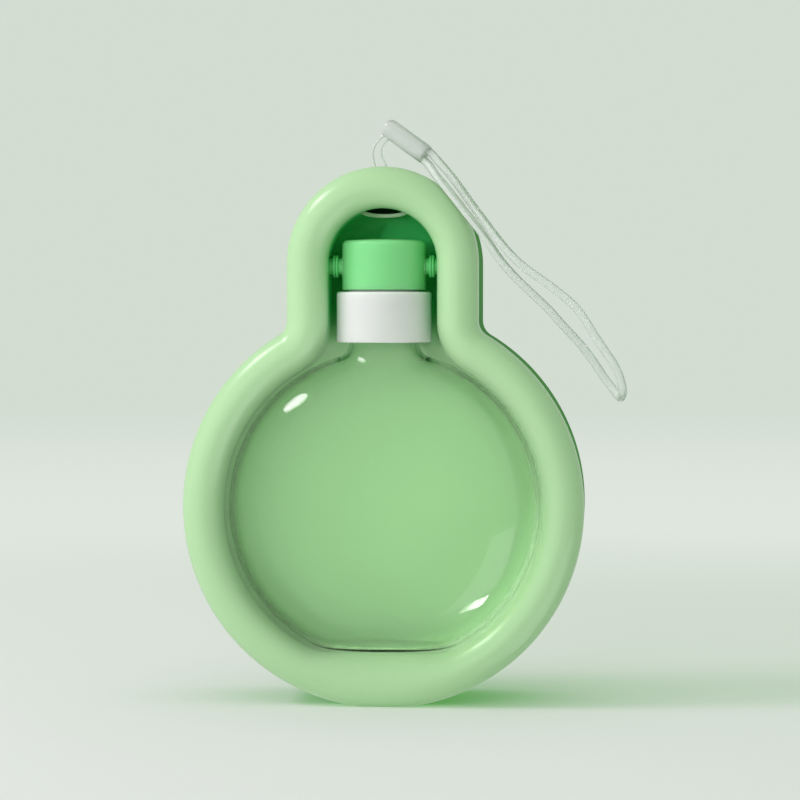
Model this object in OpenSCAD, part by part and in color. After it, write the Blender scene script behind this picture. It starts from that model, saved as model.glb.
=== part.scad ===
// Travel water bottle for dogs: a keyhole-shaped drinking bowl with a rounded rim, and a
// round clear flask that swings out of it on two pins in the neck. With the bowl on its
// back the flask stands above the neck and its slit valve pours into the bowl.
// +Z is up, the bowl opens towards -Y, and the origin is under the middle of the whole.

/* [Shell] */
// Depth from the front of the flask to the back cover
overall_d = 63; // [61:0.5:70]
// Outer radius of the round bowl
bowl_r = 73.6; // [72:0.1:78]
// Outer half width of the neck
neck_r = 35.1; // [34.6:0.1:37]
// Radius of the rounded front rim
rim_r = 7.6; // [7.2:0.1:8]
// Radius of the outer corner between neck and bowl
shoulder_r = 6; // [4:0.5:9]
// Wall thickness of the bowl and the cover
wall = 2.2; // [1.8:0.1:2.4]
// Distance from the front of the flask back to the crest of the rim
rim_setback = 9.5; // [8:0.5:11]
// Radius of the hollow between the side wall and the floor of the bowl
cove_r = 17; // [14:0.5:17]
// Height of the flat foot cut off the round bottom
foot_cut = 1; // [0.6:0.1:2]

/* [Back cover] */
// Step from the rim's outline in to the cover's outline
cover_inset = 0.4; // [0.2:0.1:0.6]
// Rounding of the cover's rear edge
cover_edge_r = 8; // [5:0.5:9]
// Radius of the posts that hold the cover
post_r = 2; // [1.5:0.1:2.5]

/* [Flask] */
// Thickness of the flask through its middle
flask_t = 48; // [46:0.5:50]
// Radius of the flask's rounded edge
flask_edge_r = 20; // [17:0.5:21]
// Wall of the flask
flask_wall = 1.6; // [1.2:0.1:2]
// Gap between the flask and the wall of the bowl
flask_gap = 1; // [0.8:0.1:1.5]
// Gap between the flask and the floor of the bowl
floor_gap = 1; // [0.8:0.1:2]
// Height of the flask's flat base above the foot
base_z = 20; // [18:0.1:23]
// Gap between the flask's base and the ledge under it
ledge_gap = 0.7; // [0.5:0.1:1.2]
// Wall of the flask's neck
mouth_wall = 1.8; // [1.4:0.1:2.2]

/* [Cap and collar] */
// Height of the collar's lower edge above the flask's round edge
collar_lift = 2.9; // [2.6:0.1:4]
// Gap between the collar and the walls of the bowl's neck
collar_gap = 2.5; // [2.2:0.1:3]
// Height of the collar
collar_h = 18.5; // [18:0.1:20]
// Step from the collar's radius in to the cap's
cap_step = 2.05; // [1.8:0.05:2.4]
// Height of the cap
cap_h = 18.6; // [18.2:0.1:20]
// Rounding of the cap's top edge
cap_edge_r = 1.8; // [1.5:0.1:3.5]
// Height of the strip of insert that shows between collar and cap
strip_h = 0.7; // [0.5:0.1:1.2]
// Room between the cap and the arch above it, for the cap's corner as it swings
arch_room = 11.1; // [10.5:0.1:20]

/* [Hinge pins] */
// Height of the pins above the cap's lower edge
pin_lift = 8.6; // [7.5:0.1:9.5]
// Radius of a pin where it turns in its bush
pin_r = 3; // [2.7:0.1:3.2]
// Radius of a pin's flange and of its washer
flange_r = 4.1; // [3.8:0.1:4.4]
// Width of a pin's flange, and of its washer
flange_w = 0.9; // [0.7:0.05:1]
// Radial clearance of a pin in its bush
pin_clearance = 0.05; // [0.02:0.01:0.08]
// Wall of a bush
bush_wall = 1.8; // [1.4:0.1:2]

/* [Lanyard] */
// Inner radius of the lanyard's eyelet
eyelet_r = 7.8; // [7:0.1:8]
// Lean of the eyelet from the vertical, top to the back
eyelet_lean = 11; // [8:1:14]
// Radius of the hole in the eyelet's top, where the thin loop comes out
loop_hole_r = 4.6; // [4:0.1:5]
// Radius of the bar across the eyelet
bar_r = 1.8; // [1.5:0.1:2]
// Diameter of the thin loop's cord
thin_d = 0.9; // [0.7:0.05:1]
// Diameter of the strap's cord
strap_d = 3; // [2.6:0.1:3.2]
// Radius of the sleeve on the lanyard
sleeve_r = 3.7; // [3.5:0.1:4]

/* [Hidden] */
$fn = 72;

// Colours of the plastics
RIM_GREEN = [0.70, 0.85, 0.65];
COVER_GREEN = [0.25, 0.55, 0.22];
CAP_GREEN = [0.35, 0.82, 0.43];
PIN_GREEN = [0.33, 0.78, 0.42];
WHITE = [0.90, 0.91, 0.91];
CLEAR = [0.86, 0.92, 0.86, 0.4];
SILICONE = [0.92, 0.93, 0.92];
STEEL = [0.75, 0.76, 0.77];

// Depths, from the front to the back
front_y = -overall_d / 2;
back_y = overall_d / 2;
flask_y = front_y + flask_t / 2;
rim_y = front_y + rim_setback + rim_r;
parting_drop = 2.4;
parting_y = rim_y + parting_drop;
floor_y = front_y + flask_t + floor_gap;
cove_y = floor_y - cove_r;

// The keyhole outline is kept as the line that the middle of the rim follows
bowl_z = bowl_r - foot_cut;
path_bowl_r = bowl_r - rim_r;
path_neck_r = neck_r - rim_r;
path_shoulder_r = shoulder_r + rim_r;
shoulder_x = neck_r + shoulder_r;
shoulder_angle = acos(shoulder_x / (bowl_r + shoulder_r));
shoulder_z = bowl_z + (bowl_r + shoulder_r) * sin(shoulder_angle);
neck_wall_x = neck_r - 2 * rim_r;
cove_u = -rim_r - cove_r;
floor_lip = 1;
lip_u = cove_u - floor_lip;

// Profile of the cover and of the tongue that reaches into the rim, as distances u and depths
cover_u = rim_r - cover_inset;
cover_edge_u = cover_u - cover_edge_r;
cover_lip_u = cover_edge_u - 2;
cover_in_u = cover_u - wall;
cover_edge_y = back_y - cover_edge_r;
tongue_u = cover_in_u - 1.8;
tongue_tip_y = rim_y - 1.2;
tongue_side_u = rim_r - wall - 0.4;
post_wall = 2;
post_gap = 0.5;

// Soft seal between the cover's tongue and the inside of the rim
seal_r = 0.75;
seal_gap = 0.03;
seal_u = (tongue_u + tongue_side_u) / 2;
seal_y = tongue_tip_y - seal_r - seal_gap;

// Steps along the outline and round its profiles
BOWL_SIDE_STEPS = 8;
BOWL_HALF_STEPS = 30;
SHOULDER_STEPS = 4;
ARCH_STEPS = 14;

// Flask
flask_r = bowl_r - 2 * rim_r - flask_gap;
ledge_z = base_z - ledge_gap;
ledge_cove_r = 7;

// Radii of the stack on the flask's neck, from the walls of the bowl's neck inwards, with the
// share that each bore takes of the piece round it
collar_r = neck_wall_x - collar_gap;
collar_wall = 2;
collar_bore_r = collar_r - collar_wall;
cap_r = collar_r - cap_step;
mouth_r = 0.74 * collar_r;
mouth_bore_r = mouth_r - mouth_wall;
spigot_r = 0.62 * cap_r;
water_r = 0.74 * spigot_r;
outlet_r = 0.88 * water_r;

// Heights of the stack, and of the neck that arches over it
collar_z = bowl_z + flask_r + collar_lift;
cap_z = collar_z + collar_h + strip_h;
pivot_z = cap_z + pin_lift;
ceiling_z = cap_z + cap_h + arch_room;
neck_z = ceiling_z - neck_wall_x;
overall_h = neck_z + neck_r;
collar_top = 2.2;
insert_flange_h = 2;
gasket_h = 1.6;
run_gap = 0.2;
strip_r = mouth_r + 0.1;
insert_z = cap_z - strip_h - collar_top - run_gap - insert_flange_h;
mouth_z = insert_z - gasket_h;
lip_h = 3;
lug_h = 2.6;
lug_gap = 0.4;
lug_r = collar_bore_r - lug_gap;
lip_r = mouth_r + lug_gap;
lug_angle = 50;
lip_gap_angle = 64;
spigot_h = 10;
chamber_h = 13.3;
// Gap between pieces that are seated in each other
seat_gap = 0.05;
face_gap = 0.02;
o_ring_r = 0.5;
o_ring_h = 5.5;
groove_gap = 0.2;
valve_flange_h = 1.3;
valve_lip_rise = 3.4;
slit_w = 0.3;

// Hinge pins
boss_reach = 0.15;
boss_wall = 0.6;
pin_shoulder = 1.2;
boss_x = cap_r + boss_reach;
flange_x = boss_x + pin_shoulder;
washer_gap = 0.1;
washer_x = flange_x + flange_w + washer_gap;
pin_root_x = spigot_r + 0.7;
pin_root_r = pin_r - 0.4;
pin_reach = 7.6;
pin_end_x = neck_wall_x + pin_reach;
bush_x = neck_wall_x + 0.3;
bush_end_x = pin_end_x + 1.2;
bush_bore_r = pin_r + pin_clearance;
bush_r = bush_bore_r + bush_wall;
bush_boss_r = bush_r + 1.7;

// Eyelet through the top of the neck
eyelet_back = 4.9;
eyelet_y = rim_y + eyelet_back;
eyelet_wall = 1.2;
eyelet_drop = 1.55;
chamber_top = 11.6;
bar_up = 8.2;

// Plan places of the posts behind the bowl's floor, as [x, height above the bowl's middle]
POSTS = [[-27, -26], [27, -26], [-27, 26], [27, 26], [0, 80]];

// Route of the thin loop: from the sleeve, down round the bar and back up
THIN_ROUTE = [
  [4.2, -6.8, 209.2], [2.8, -6.6, 209.7], [1.2, -6.5, 209.5], [-0.8, -6.3, 208.2],
  [-2.6, -6.2, 206.4], [-3.8, -6.1, 204.4], [-4.3, -6, 202.4], [-4.1, -6, 200],
  [-3.5, -6.2, 197.6], [-3, -6.6, 195.2], [-2.6, -7, 192.6], [-2.45, -7.5, 190.2],
  [-2.45, -7.9, 188.3], [-2, -8.1, 187.05], [-1.1, -8.3, 186.15], [0, -8.4, 185.85],
  [1.1, -8.3, 186.15], [2, -8.1, 187.05], [2.45, -7.9, 188.3], [2.4, -7.5, 190.2],
  [2, -7, 192.6], [1.4, -6.6, 195.2], [0.6, -6.2, 197.6], [-0.6, -6, 200], [-1.2, -6, 202.2],
  [-1, -6.2, 204.4], [0.4, -6.4, 206.4], [2, -6.6, 207.6], [4, -6.8, 207.6]
];
// Ends of the sleeve's axis
SLEEVE_FROM = [0.2, -6, 212.4];
SLEEVE_TO = [15.6, -10, 201.3];
// Route of the strap: along the upper strand, round the far end and back along the lower
STRAP_ROUTE = [
  [15, -9.6, 203.8], [16.8, -10.1, 202.5], [20.6, -12, 198.5], [25.4, -14.2, 193],
  [31.6, -17, 184.6], [37.6, -19, 176.6], [42, -20, 170.8], [48.2, -20.5, 163.6],
  [53, -21, 159.4], [58.4, -21.5, 155.6], [63, -22, 152.2], [67.4, -22.5, 148.7],
  [71.2, -23, 144.9], [74.4, -23.6, 140.4], [77.6, -24, 135.3], [81.2, -24.5, 129.9],
  [84.6, -24.4, 124.8], [87, -22.8, 118.6], [87.4, -20, 114.8], [86.8, -16.8, 113.2],
  [85.6, -13.6, 113.8], [83.8, -11.6, 116.2], [81, -11, 119.8], [77, -12, 125.8],
  [71.8, -14, 132.6], [65.4, -16, 139.6], [61.4, -17, 144.2], [55, -18, 150.4],
  [49.6, -18.6, 155.6], [43.4, -19, 162.6], [39.6, -19.4, 168.2], [35.8, -19.8, 173.6],
  [30.6, -19.8, 180.2], [27.8, -19.6, 183.8], [25, -19.2, 187.2], [22.4, -17.9, 190.4],
  [19.8, -16, 193.4], [16.9, -12.4, 197.4], [14.4, -10, 199.8], [13, -9.6, 201]
];
CORD_SIDES = 8;

function arc(centre, radius, from, to, steps) =
  [for (i = [0:steps]) let (a = from + (to - from) * i / steps)
    centre + radius * [cos(a), sin(a)]];

// All but the first point of a list
function rest(points) = [for (i = [1:len(points) - 1]) points[i]];

// The keyhole outline at the distance u outside the middle of the rim, as points [x, z]
function keyhole(u) = concat(
  arc([0, bowl_z], path_bowl_r + u, 180 - shoulder_angle, 180, BOWL_SIDE_STEPS),
  rest(arc([0, bowl_z], path_bowl_r + u, 180, 360, BOWL_HALF_STEPS)),
  rest(arc([0, bowl_z], path_bowl_r + u, 360, 360 + shoulder_angle, BOWL_SIDE_STEPS)),
  rest(arc([shoulder_x, shoulder_z], path_shoulder_r - u,
    180 + shoulder_angle, 180, SHOULDER_STEPS)),
  arc([0, neck_z], path_neck_r + u, 0, 180, ARCH_STEPS),
  [for (i = [0:SHOULDER_STEPS - 1]) let (a = -shoulder_angle * i / SHOULDER_STEPS)
    [-shoulder_x, shoulder_z] + (path_shoulder_r - u) * [cos(a), sin(a)]]
);

// Sweeps a closed profile of points [u, y] round the keyhole
module keyhole_sweep(profile) {
  inner = keyhole(0);
  outer = keyhole(1);
  n = len(inner);
  m = len(profile);
  points = [for (i = [0:n - 1]) for (p = profile)
    let (q = inner[i] + p[0] * (outer[i] - inner[i])) [q[0], p[1], q[1]]];
  faces = [for (i = [0:n - 1]) for (k = [0:m - 1])
    let (i2 = (i + 1) % n, k2 = (k + 1) % m)
    [i * m + k, i * m + k2, i2 * m + k2, i2 * m + k]];
  polyhedron(points, faces);
}

// Solid of the keyhole outline at u, between two depths
module keyhole_plate(u, from_y, to_y) {
  translate([0, to_y, 0]) rotate([90, 0, 0])
    linear_extrude(to_y - from_y) polygon(keyhole(u));
}

// Turned solid on a horizontal axis along X at the height and depth of the hinge
module on_hinge_axis(x) {
  translate([x, flask_y, pivot_z]) rotate([0, 90, 0]) children();
}

// Puts the eyelet's own axis in place: its origin is the middle of the mouth
module on_eyelet_axis() {
  translate([0, eyelet_y, ceiling_z - eyelet_drop]) rotate([-eyelet_lean, 0, 0]) children();
}

// Keeps everything above the plane that the part stands on
module above_foot() {
  intersection() {
    children();
    translate([-2 * bowl_r, -overall_d, 0]) cube([4 * bowl_r, 2 * overall_d, 2 * overall_h]);
  }
}

// A tube swept along a route of points
function unit(v) = v / norm(v);
function along(route, i) =
  unit(route[min(i + 1, len(route) - 1)] - route[max(i - 1, 0)]);
// Side direction of each ring, carried from ring to ring without twist
function carried(side, axis) = unit(side - (side * axis) * axis);
function sides(route, i, side) =
  let (s = carried(side, along(route, i)))
  i == len(route) - 1 ? [s] : concat([s], sides(route, i + 1, s));

module cord(route, diameter) {
  n = len(route);
  m = CORD_SIDES;
  side = sides(route, 0, [0, 1, 0]);
  points = [for (i = [0:n - 1]) let (t = along(route, i), s = side[i], c = cross(t, s))
    for (k = [0:m - 1]) let (a = 360 * k / m)
      route[i] + diameter / 2 * (cos(a) * s + sin(a) * c)];
  walls = [for (i = [0:n - 2]) for (k = [0:m - 1]) let (k2 = (k + 1) % m)
    [i * m + k, (i + 1) * m + k, (i + 1) * m + k2, i * m + k2]];
  ends = [[for (k = [0:m - 1]) k], [for (k = [m - 1:-1:0]) (n - 1) * m + k]];
  polyhedron(points, concat(walls, ends));
}

// Profile of the bowl shell: rounded rim, hollow side wall and the edge of the floor
function shell_profile() = concat(
  [[rim_r, parting_y]],
  [for (p = arc([0, 0], rim_r, 0, 180, 10)) [p[0], rim_y - p[1]]],
  [for (p = arc([0, 0], cove_r, 0, 90, 5)) [cove_u + p[0], cove_y + p[1]]],
  [[lip_u, floor_y], [lip_u, floor_y + wall]],
  [for (p = arc([0, 0], cove_r + wall, 90, 0, 4)) [cove_u + p[0], cove_y + p[1]]],
  [for (p = arc([0, 0], rim_r - wall, 180, 0, 6)) [p[0], rim_y - p[1]]],
  [[rim_r - wall, parting_y]]
);

// Outline of the ledge under the flask's base, seen from the side as [y, z]
function ledge_outline() = concat(
  [[rim_y, -foot_cut], [rim_y - rim_r + 0.05, -foot_cut]],
  [for (p = arc([0, 0], rim_r - 0.05, 180, 90, 6)) [rim_y + p[0], ledge_z - rim_r + 0.05 + p[1]]],
  [for (p = arc([floor_y - ledge_cove_r, ledge_z + ledge_cove_r], ledge_cove_r, 270, 360, 5)) p],
  [[floor_y + wall / 2, ledge_z + ledge_cove_r], [floor_y + wall / 2, -foot_cut]]
);

module ledge() {
  intersection() {
    translate([-bowl_r, 0, 0]) rotate([90, 0, 90])
      linear_extrude(2 * bowl_r) polygon(ledge_outline());
    keyhole_plate(-wall, rim_y - rim_r, floor_y + wall);
  }
}

module post_places() {
  for (p = POSTS) translate([p[0], 0, bowl_z + p[1]]) rotate([-90, 0, 0]) children();
}

// Both bosses that hold the bushes, on the hidden side of the neck's walls
module bush_bosses() {
  for (side = [0, 1]) mirror([side, 0, 0])
    on_hinge_axis(neck_wall_x + wall / 2)
      cylinder(r = bush_boss_r, h = bush_end_x - neck_wall_x - wall / 2);
}

module bush_holes() {
  for (side = [0, 1]) mirror([side, 0, 0])
    on_hinge_axis(neck_wall_x - 1) cylinder(r = bush_r + seat_gap, h = bush_end_x);
}

// Outside of the eyelet: wide in the hollow of the rim, narrow where it comes out at the top
module eyelet_body(gap, below) {
  on_eyelet_axis() translate([0, 0, -below])
    cylinder(r = eyelet_r + eyelet_wall + gap, h = below + chamber_top + eyelet_wall + gap);
  on_eyelet_axis() cylinder(r = loop_hole_r + eyelet_wall + gap, h = 5 * eyelet_r);
}

module eyelet_hole() {
  eyelet_body(seat_gap, eyelet_r);
}

module bowl_shell() {
  color(RIM_GREEN) above_foot() difference() {
    union() {
      keyhole_sweep(shell_profile());
      keyhole_plate(lip_u + floor_lip / 2, floor_y, floor_y + wall);
      ledge();
      bush_bosses();
      post_places() translate([0, 0, floor_y + wall / 2])
        cylinder(r = post_r, h = back_y - 2 * wall - floor_y);
    }
    bush_holes();
    eyelet_hole();
  }
}

// Profile of the cover: side wall with its tongue, rounded rear edge and edge of the back
function cover_profile() = concat(
  [[cover_u, parting_y], [tongue_side_u, parting_y], [tongue_side_u, tongue_tip_y]],
  [[tongue_u, tongue_tip_y], [tongue_u, parting_y + 2], [cover_in_u, parting_y + 4]],
  [for (p = arc([0, 0], cover_edge_r - wall, 0, 90, 4)) [cover_edge_u + p[0], cover_edge_y + p[1]]],
  [[cover_lip_u, back_y - wall], [cover_lip_u, back_y]],
  [for (p = arc([0, 0], cover_edge_r, 90, 0, 5)) [cover_edge_u + p[0], cover_edge_y + p[1]]]
);

module back_cover() {
  color(COVER_GREEN) above_foot() difference() {
    union() {
      keyhole_sweep(cover_profile());
      keyhole_plate(cover_lip_u + 1, back_y - wall, back_y);
      post_places() translate([0, 0, floor_y + wall + post_gap])
        cylinder(r = post_r + post_wall, h = back_y - wall / 2 - floor_y - wall - post_gap);
    }
    post_places() translate([0, 0, floor_y])
      cylinder(r = post_r + seat_gap, h = back_y - wall - floor_y);
    eyelet_hole();
  }
}

// Soft cord between the cover's tongue and the inside of the rim
module shell_seal() {
  color(SILICONE) difference() {
    keyhole_sweep([for (p = arc([seal_u, -seal_y], seal_r, 0, 300, 5)) [p[0], -p[1]]]);
    eyelet_hole();
  }
}

module pivot_bush() {
  color(WHITE) difference() {
    on_hinge_axis(bush_x) cylinder(r = bush_r, h = bush_end_x - bush_x);
    on_hinge_axis(bush_x - 1) cylinder(r = bush_bore_r, h = bush_end_x);
  }
}

module pivot_bush_right() {
  pivot_bush();
}

module pivot_bush_left() {
  mirror([1, 0, 0]) pivot_bush();
}

// Leaning tube through the top of the neck, its mouth proud of the ceiling at the back
module lanyard_eyelet() {
  color(RIM_GREEN) difference() {
    intersection() {
      eyelet_body(0, 0);
      keyhole_plate(cover_u, rim_y - rim_r, floor_y);
    }
    on_eyelet_axis() translate([0, 0, -1]) cylinder(r = eyelet_r, h = chamber_top + 1);
    on_eyelet_axis() cylinder(r = loop_hole_r, h = 5 * eyelet_r);
    across_eyelet(bar_r + seat_gap, eyelet_r + 2 * eyelet_wall);
  }
}

// Turned solid across the eyelet, from front to back
module across_eyelet(radius, half_l) {
  on_eyelet_axis() translate([0, half_l, bar_up]) rotate([90, 0, 0])
    cylinder(r = radius, h = 2 * half_l);
}

module lanyard_bar() {
  color(STEEL) across_eyelet(bar_r, eyelet_r + eyelet_wall - 0.3);
}

module thin_loop() {
  color(CLEAR) cord(THIN_ROUTE, thin_d);
}

// Sleeve with a rounded nose, over the ends of the strap and of the thin loop
module lanyard_sleeve() {
  axis = SLEEVE_TO - SLEEVE_FROM;
  long = norm(axis);
  nose = 2.2;
  color(CLEAR) translate(SLEEVE_FROM)
    rotate([0, acos(axis[2] / long), atan2(axis[1], axis[0])])
      rotate_extrude() polygon(concat(
        [[0, 0], [sleeve_r - nose, 0]],
        [for (p = arc([sleeve_r - nose, nose], nose, -75, 0, 5)) p],
        [[sleeve_r, long], [0, long]]));
}

module strap_loop() {
  color(CLEAR) cord(STRAP_ROUTE, strap_d);
}

// Cap: crown with the outlet, chamber of the slit valve, socket of the insert
module cap() {
  crown = 0.5;
  color(CAP_GREEN) difference() {
    union() {
      translate([0, flask_y, cap_z]) rotate_extrude() polygon(concat(
        [[0, 0], [cap_r, 0]],
        [for (p = arc([cap_r - cap_edge_r, cap_h - crown - cap_edge_r], cap_edge_r, 0, 84, 8)) p],
        [[outlet_r, cap_h], [0, cap_h]]));
      on_hinge_axis(-boss_x) cylinder(r = pin_r + boss_wall, h = 2 * boss_x);
    }
    translate([0, flask_y, cap_z - 1]) cylinder(r = spigot_r, h = chamber_h + 1);
    translate([0, flask_y, cap_z]) cylinder(r = outlet_r, h = 2 * cap_h);
    on_hinge_axis(-2 * cap_r) cylinder(r = pin_root_r, h = 4 * cap_r);
  }
}

// Pin with its pressed root, shoulder, flange and journal
module hinge_pin() {
  color(PIN_GREEN) union() {
    on_hinge_axis(pin_root_x) cylinder(r = pin_root_r, h = boss_x - pin_root_x);
    on_hinge_axis(boss_x) cylinder(r = pin_r, h = pin_end_x - boss_x);
    on_hinge_axis(flange_x) cylinder(r = flange_r, h = flange_w);
  }
}

module hinge_pin_right() {
  hinge_pin();
}

module hinge_pin_left() {
  mirror([1, 0, 0]) hinge_pin();
}

module pivot_washer() {
  color(PIN_GREEN) difference() {
    on_hinge_axis(washer_x) cylinder(r = flange_r, h = flange_w);
    on_hinge_axis(washer_x - 1) cylinder(r = pin_r + pin_clearance, h = flange_w + 2);
  }
}

module pivot_washer_right() {
  pivot_washer();
}

module pivot_washer_left() {
  mirror([1, 0, 0]) pivot_washer();
}

// White insert: spigot in the cap, strip above the collar, flange that carries the collar
module valve_insert() {
  flange_top = insert_z + insert_flange_h - cap_z;
  half_groove = o_ring_r + groove_gap;
  groove_r = spigot_r - 2 * o_ring_r - 0.5 * groove_gap;
  color(WHITE) translate([0, flask_y, cap_z]) rotate_extrude() polygon([
    [water_r, insert_z - cap_z], [lug_r, insert_z - cap_z], [lug_r, flange_top],
    [strip_r, flange_top], [strip_r, -face_gap], [spigot_r - seat_gap, -face_gap],
    [spigot_r - seat_gap, o_ring_h - half_groove], [groove_r, o_ring_h - half_groove],
    [groove_r, o_ring_h + half_groove], [spigot_r - seat_gap, o_ring_h + half_groove],
    [spigot_r - seat_gap, spigot_h], [water_r, spigot_h]]);
}

module insert_o_ring() {
  color(SILICONE) translate([0, flask_y, cap_z + o_ring_h]) rotate_extrude()
    translate([spigot_r - o_ring_r - seal_gap, 0]) circle(r = o_ring_r);
}

// Soft slit valve: flange held by the ring, domed lips crossed by two slits
module outlet_valve() {
  flange_z = chamber_h - valve_flange_h;
  color(SILICONE) translate([0, flask_y, cap_z]) difference() {
    rotate_extrude() polygon(concat(
      [[0, flange_z], [spigot_r - seat_gap, flange_z], [spigot_r - seat_gap, chamber_h - face_gap]],
      [[outlet_r - 0.3, chamber_h - face_gap]],
      [for (p = arc([outlet_r - 1.3, chamber_h + valve_lip_rise - 1], 1, 0, 90, 4)) p],
      [[0, chamber_h + valve_lip_rise - 0.8]]));
    for (turn = [0, 90]) rotate(turn)
      translate([-outlet_r * 0.6, -slit_w / 2, flange_z + 0.6])
        cube([outlet_r * 1.2, slit_w, chamber_h]);
  }
}

module valve_ring() {
  color(WHITE) translate([0, flask_y, cap_z]) difference() {
    translate([0, 0, spigot_h + face_gap])
      cylinder(r = spigot_r - seat_gap, h = chamber_h - valve_flange_h - spigot_h - 2 * face_gap);
    translate([0, 0, spigot_h]) cylinder(r = water_r, h = chamber_h);
  }
}

module mouth_gasket() {
  color(SILICONE) translate([0, flask_y, mouth_z]) difference() {
    cylinder(r = lug_r, h = gasket_h);
    translate([0, 0, -1]) cylinder(r = mouth_bore_r, h = gasket_h + 2);
  }
}

// Half of a lens section: domed front, rounded edge, domed back
function lens_half(radius, half_t, edge_r) =
  let (a = radius - edge_r)
  let (dome_r = (a * a + half_t * half_t - edge_r * edge_r) / (2 * (half_t - edge_r)))
  let (turn = atan2(a, dome_r - half_t))
  let (front = arc([0, half_t - dome_r], dome_r, 90, 90 - turn, 8))
  let (back = [for (i = [len(front) - 1:-1:0]) [front[i][0], -front[i][1]]])
  let (edge = arc([a, 0], edge_r, 90 - turn, turn - 90, 19))
  concat(front, [for (i = [1:len(edge) - 2]) edge[i]], back);

// Lens at the bowl's middle with a flat base, whose edges are eased so that they swing free
module lens(inset) {
  flat_z = base_z + inset;
  half_flat = 8;
  half_w = 16;
  ease = 0.7;
  intersection() {
    translate([0, flask_y, bowl_z]) rotate([90, 0, 0]) rotate_extrude()
      polygon(lens_half(flask_r - inset, flask_t / 2 - inset, flask_edge_r - inset));
    translate([-bowl_r, flask_y, flat_z]) rotate([90, 0, 90])
      linear_extrude(2 * bowl_r)
        polygon([[-half_flat, 0], [half_flat, 0], [half_w, ease], [flask_t, ease],
          [flask_t, 2 * bowl_r], [-flask_t, 2 * bowl_r], [-flask_t, ease], [-half_w, ease]]);
  }
}

// Two bayonet lugs on the flask's neck
module lugs() {
  intersection() {
    translate([0, 0, collar_z + lip_h + lug_gap]) difference() {
      cylinder(r = lug_r, h = lug_h);
      translate([0, 0, -1]) cylinder(r = mouth_r - 0.5, h = lug_h + 2);
    }
    wedge_pair(lug_angle, 0);
  }
}

// Two opposite wedges round the neck's axis, used to keep or to clear a sector
module wedge_pair(angle, turn) {
  far = 2 * collar_r;
  half = far * tan(angle / 2);
  rotate(turn) translate([0, 0, collar_z - collar_h])
    linear_extrude(3 * collar_h) {
      polygon([[0, 0], [far, -half], [far, half]]);
      polygon([[0, 0], [-far, half], [-far, -half]]);
    }
}

module flask() {
  neck_turn = 30;
  color(CLEAR) difference() {
    union() {
      lens(0);
      translate([0, flask_y, bowl_z + flask_r / 2]) rotate(neck_turn)
        cylinder(r = mouth_r, h = mouth_z - bowl_z - flask_r / 2);
      translate([0, flask_y, 0]) lugs();
    }
    lens(flask_wall);
    translate([0, flask_y, bowl_z + flask_r / 3]) rotate(neck_turn)
      cylinder(r = mouth_bore_r, h = collar_z);
  }
}

// White collar that turns on the insert and grips the flask's lugs
module collar() {
  edge = 1.2;
  color(WHITE) translate([0, flask_y, 0]) difference() {
    translate([0, 0, collar_z]) rotate_extrude() polygon(concat(
      [[strip_r + 0.1, 0], [collar_r, 0]],
      [for (p = arc([collar_r - edge, collar_h - edge], edge, 0, 90, 5)) p],
      [[strip_r + 0.1, collar_h]]));
    translate([0, 0, collar_z + lip_h])
      cylinder(r = collar_bore_r, h = collar_h - lip_h - collar_top);
    translate([0, 0, collar_z - 1]) cylinder(r = lip_r, h = collar_h / 2);
    intersection() {
      translate([0, 0, collar_z - 1]) cylinder(r = collar_bore_r, h = lip_h + 2);
      wedge_pair(lip_gap_angle, 90);
    }
  }
}

bowl_shell();
back_cover();
shell_seal();
pivot_bush_left();
pivot_bush_right();
lanyard_eyelet();
lanyard_bar();
thin_loop();
lanyard_sleeve();
strap_loop();
cap();
hinge_pin_left();
hinge_pin_right();
pivot_washer_left();
pivot_washer_right();
valve_insert();
insert_o_ring();
outlet_valve();
valve_ring();
mouth_gasket();
flask();
collar();
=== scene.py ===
import math

import bmesh
import bpy
from mathutils import Matrix, Vector


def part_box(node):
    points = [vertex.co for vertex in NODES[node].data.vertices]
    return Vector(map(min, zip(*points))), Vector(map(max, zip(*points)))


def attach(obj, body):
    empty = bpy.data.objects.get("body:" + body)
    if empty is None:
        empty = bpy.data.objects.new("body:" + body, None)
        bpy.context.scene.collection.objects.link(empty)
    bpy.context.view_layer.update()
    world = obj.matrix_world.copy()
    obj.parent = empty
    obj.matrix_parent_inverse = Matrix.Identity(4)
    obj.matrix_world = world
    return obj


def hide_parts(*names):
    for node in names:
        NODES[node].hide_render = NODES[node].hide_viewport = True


bl_info = {
    "name": "Dog Travel Water Bottle",
    "version": (1, 0, 0),
    "blender": (4, 5, 0),
    "location": "View3D > Sidebar > Water Bottle",
    "description": "Builds a keyhole-shaped drinking bowl with its clear flask, cap, collar and strap",
    "category": "Add Mesh",
}

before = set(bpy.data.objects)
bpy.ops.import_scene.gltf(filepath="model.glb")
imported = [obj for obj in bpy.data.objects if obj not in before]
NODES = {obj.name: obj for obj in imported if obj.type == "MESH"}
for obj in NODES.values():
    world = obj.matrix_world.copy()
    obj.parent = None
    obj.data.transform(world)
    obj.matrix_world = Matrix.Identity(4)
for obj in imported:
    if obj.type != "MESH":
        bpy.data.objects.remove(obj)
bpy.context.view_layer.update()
MM = 0.001

# Places of the solids, in millimetres
FLASK_Y = sum(v.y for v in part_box("flask")) / 2 / MM
PIN_Z = sum(v.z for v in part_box("hinge_pin_right")) / 2 / MM
CAP_BASE, CAP_TOP = (v.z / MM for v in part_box("cap"))
COLLAR_BASE, COLLAR_TOP = (v.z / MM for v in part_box("collar"))
FLASK_BASE, MOUTH_Z = (v.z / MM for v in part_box("flask"))
FRONT_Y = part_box("flask")[0].y / MM
BACK_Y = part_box("back_cover")[1].y / MM
SHELL_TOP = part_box("bowl_shell")[1].z / MM

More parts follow.
